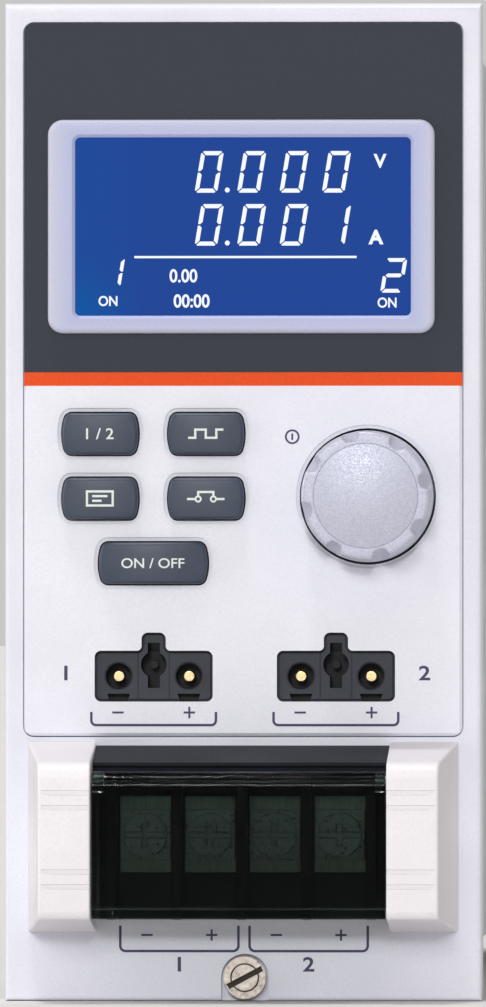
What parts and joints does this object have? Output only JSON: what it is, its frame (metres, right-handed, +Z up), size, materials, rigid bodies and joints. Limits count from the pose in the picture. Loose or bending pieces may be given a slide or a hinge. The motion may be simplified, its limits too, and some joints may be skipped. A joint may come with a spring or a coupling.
{
  "type": "dc electronic load module",
  "caption": "Plug-in dc electronic load module: moulded front with display, keys, push knob, sense sockets and a doored terminal block on a narrow fan-cooled chassis.",
  "frame": {"origin": "middle of the module's footprint, at the foot of its front frame", "axes": "+X right seen from the front, the front faces -Y, +Z up; the module slides in along +Y"},
  "size_m": [0.0814, 0.465, 0.1704],
  "materials": {
    "frame_abs": "moulded, fine satin texture",
    "fascia_abs": "moulded, fine satin texture",
    "overlay_film": "printed polycarbonate film, orange band at its foot",
    "bezel_acrylic": "frosted acrylic",
    "lcd_glass": "backlit display, white segments on blue",
    "backlight": "moulded",
    "circuit_board": "solder mask",
    "key_rubber": "moulded, satin, printed legends",
    "switch_plastic": "moulded",
    "knob_abs": "sprayed metallic grey",
    "socket_plastic": "moulded, glass filled",
    "contact_gold": "gold plated",
    "block_plastic": "moulded, glass filled",
    "bar_copper": "tinned copper",
    "screw_steel": "nickel plated steel",
    "hood_plastic": "moulded, matte",
    "cheek_abs": "moulded, fine satin texture",
    "door_smoke": "smoked polycarbonate",
    "sheet_steel": "galvanised sheet",
    "fan_plastic": "moulded",
    "sink_aluminium": "extruded",
    "package_epoxy": "moulded epoxy",
    "can_sleeve": "shrink sleeve",
    "connector_plastic": "moulded polyester",
    "cable_grey": "flat cable"
  },
  "bodies": {
    "root": {"front_frame": "frame_abs", "fascia_plate": "fascia_abs", "display_overlay": "overlay_film", "display_bezel": "bezel_acrylic", "lcd_glass": "lcd_glass", "lcd_backlight": "backlight", "display_board": "circuit_board", "tact_switches": "switch_plastic", "encoder_body": "switch_plastic", "sense_socket_left": "socket_plastic", "sense_socket_right": "socket_plastic", "sense_contacts": "contact_gold", "terminal_block": "block_plastic", "terminal_bars": "bar_copper", "terminal_hood": "hood_plastic", "terminal_cheek_left": "cheek_abs", "terminal_cheek_right": "cheek_abs", "cheek_screws": "screw_steel", "door_pins": "screw_steel", "chassis_tray": "sheet_steel", "side_cover": "sheet_steel", "cover_screws": "screw_steel", "panel_screws": "screw_steel", "fan_frame": "fan_plastic", "fan_guard": "screw_steel", "fan_screws": "screw_steel", "power_board": "circuit_board", "board_standoffs": "contact_gold", "board_screws": "screw_steel", "heat_sinks": "sink_aluminium", "power_transistors": "package_epoxy", "current_shunts": "bar_copper", "filter_capacitors": "can_sleeve", "backplane_connector": "connector_plastic", "board_link": "cable_grey"},
    "channel_key": {"channel_key": "key_rubber", "channel_plunger": "switch_plastic"},
    "mode_key": {"mode_key": "key_rubber", "mode_plunger": "switch_plastic"},
    "display_key": {"display_key": "key_rubber", "display_plunger": "switch_plastic"},
    "short_key": {"short_key": "key_rubber", "short_plunger": "switch_plastic"},
    "load_key": {"load_key": "key_rubber", "load_plunger": "switch_plastic"},
    "knob_carrier": {"encoder_plunger": "backlight"},
    "knob": {"knob": "knob_abs", "encoder_shaft": "screw_steel"},
    "terminal_door": {"terminal_door": "door_smoke"},
    "captive_washer": {"captive_washer": "screw_steel"},
    "captive_screw": {"captive_screw": "screw_steel"},
    "clamp_washer_1": {"clamp_washer_1": "screw_steel"},
    "terminal_screw_1": {"terminal_screw_1": "screw_steel"},
    "clamp_washer_2": {"clamp_washer_2": "screw_steel"},
    "terminal_screw_2": {"terminal_screw_2": "screw_steel"},
    "clamp_washer_3": {"clamp_washer_3": "screw_steel"},
    "terminal_screw_3": {"terminal_screw_3": "screw_steel"},
    "clamp_washer_4": {"clamp_washer_4": "screw_steel"},
    "terminal_screw_4": {"terminal_screw_4": "screw_steel"},
    "fan_rotor": {"fan_rotor": "fan_plastic"}
  },
  "joints": [
    {"name": "channel_key_press", "type": "slide", "parent": "root", "child": "channel_key", "axis": [0, 1, 0], "range_m": [0, 0.0006], "stiffness_N_per_m": 900, "springref_m": -0.001},
    {"name": "mode_key_press", "type": "slide", "parent": "root", "child": "mode_key", "axis": [0, 1, 0], "range_m": [0, 0.0006], "stiffness_N_per_m": 900, "springref_m": -0.001},
    {"name": "display_key_press", "type": "slide", "parent": "root", "child": "display_key", "axis": [0, 1, 0], "range_m": [0, 0.0006], "stiffness_N_per_m": 900, "springref_m": -0.001},
    {"name": "short_key_press", "type": "slide", "parent": "root", "child": "short_key", "axis": [0, 1, 0], "range_m": [0, 0.0006], "stiffness_N_per_m": 900, "springref_m": -0.001},
    {"name": "load_key_press", "type": "slide", "parent": "root", "child": "load_key", "axis": [0, 1, 0], "range_m": [0, 0.0006], "stiffness_N_per_m": 900, "springref_m": -0.001},
    {"name": "knob_push", "type": "slide", "parent": "root", "child": "knob_carrier", "axis": [0, 1, 0], "range_m": [0, 0.0005], "stiffness_N_per_m": 2000, "springref_m": -0.001},
    {"name": "knob_spin", "type": "hinge", "parent": "knob_carrier", "child": "knob", "pos_m": [0.0213, -0.2065, 0.0861], "axis": [0, -1, 0], "continuous": true},
    {"name": "door_swing", "type": "hinge", "parent": "root", "child": "terminal_door", "pos_m": [0, -0.2245, 0.0374], "axis": [-1, 0, 0], "range_deg": [0, 100]},
    {"name": "captive_rise", "type": "slide", "parent": "root", "child": "captive_washer", "axis": [0, -1, 0], "range_m": [0, 0.0042]},
    {"name": "captive_turn", "type": "hinge", "parent": "captive_washer", "child": "captive_screw", "pos_m": [0.0003, -0.2065, 0.00393], "axis": [0, -1, 0], "range_deg": [0, 2160]},
    {"name": "terminal_1_rise", "type": "slide", "parent": "root", "child": "clamp_washer_1", "axis": [0, -1, 0], "range_m": [0, 0.0035]},
    {"name": "terminal_1_turn", "type": "hinge", "parent": "clamp_washer_1", "child": "terminal_screw_1", "pos_m": [-0.01644, -0.2065, 0.0284], "axis": [0, -1, 0], "range_deg": [0, 1800]},
    {"name": "terminal_2_rise", "type": "slide", "parent": "root", "child": "clamp_washer_2", "axis": [0, -1, 0], "range_m": [0, 0.0035]},
    {"name": "terminal_2_turn", "type": "hinge", "parent": "clamp_washer_2", "child": "terminal_screw_2", "pos_m": [-0.00539, -0.2065, 0.0284], "axis": [0, -1, 0], "range_deg": [0, 1800]},
    {"name": "terminal_3_rise", "type": "slide", "parent": "root", "child": "clamp_washer_3", "axis": [0, -1, 0], "range_m": [0, 0.0035]},
    {"name": "terminal_3_turn", "type": "hinge", "parent": "clamp_washer_3", "child": "terminal_screw_3", "pos_m": [0.00566, -0.2065, 0.0284], "axis": [0, -1, 0], "range_deg": [0, 1800]},
    {"name": "terminal_4_rise", "type": "slide", "parent": "root", "child": "clamp_washer_4", "axis": [0, -1, 0], "range_m": [0, 0.0035]},
    {"name": "terminal_4_turn", "type": "hinge", "parent": "clamp_washer_4", "child": "terminal_screw_4", "pos_m": [0.01672, -0.2065, 0.0284], "axis": [0, -1, 0], "range_deg": [0, 1800]},
    {"name": "fan_spin", "type": "hinge", "parent": "root", "child": "fan_rotor", "pos_m": [0, 0.2275, 0.1282], "axis": [0, 1, 0], "continuous": true}
  ],
  "couplings": [
    {"joint": "captive_turn", "follows": "captive_rise", "rad_per_m": 8976},
    {"joint": "terminal_1_turn", "follows": "terminal_1_rise", "rad_per_m": 8976},
    {"joint": "terminal_2_turn", "follows": "terminal_2_rise", "rad_per_m": 8976},
    {"joint": "terminal_3_turn", "follows": "terminal_3_rise", "rad_per_m": 8976},
    {"joint": "terminal_4_turn", "follows": "terminal_4_rise", "rad_per_m": 8976}
  ]
}
